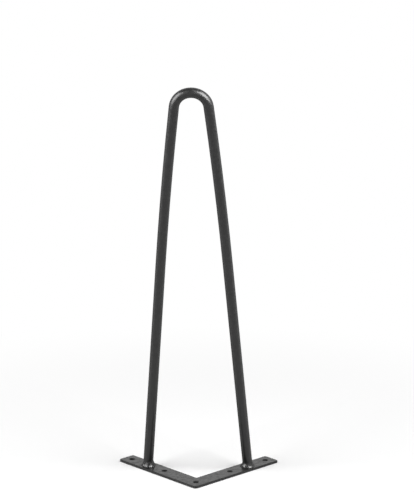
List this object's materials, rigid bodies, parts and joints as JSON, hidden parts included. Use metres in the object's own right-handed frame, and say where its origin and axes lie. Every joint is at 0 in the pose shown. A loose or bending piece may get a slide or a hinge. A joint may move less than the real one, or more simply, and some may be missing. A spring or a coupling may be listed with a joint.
{
  "type": "hairpin table leg",
  "caption": "Black hairpin furniture leg: a round steel rod bent once and welded by both feet to an L-shaped screw plate, leaning out over the plate's corner.",
  "frame": {"origin": "centre of the corner screw hole on the plate's table-side face", "axes": "+Z from the table-side face towards the bend, -Y towards the plate's outer corner, over which the hairpin leans, +X along the line from the left foot to the right one"},
  "size_m": [0.1568, 0.1334, 0.4064],
  "materials": {
    "powder_coat": "satin black powder coat with a fine orange-peel texture"
  },
  "bodies": {
    "root": {"hairpin_rod": "powder_coat", "mounting_plate": "powder_coat", "weld_beads": "powder_coat"}
  },
  "joints": []
}
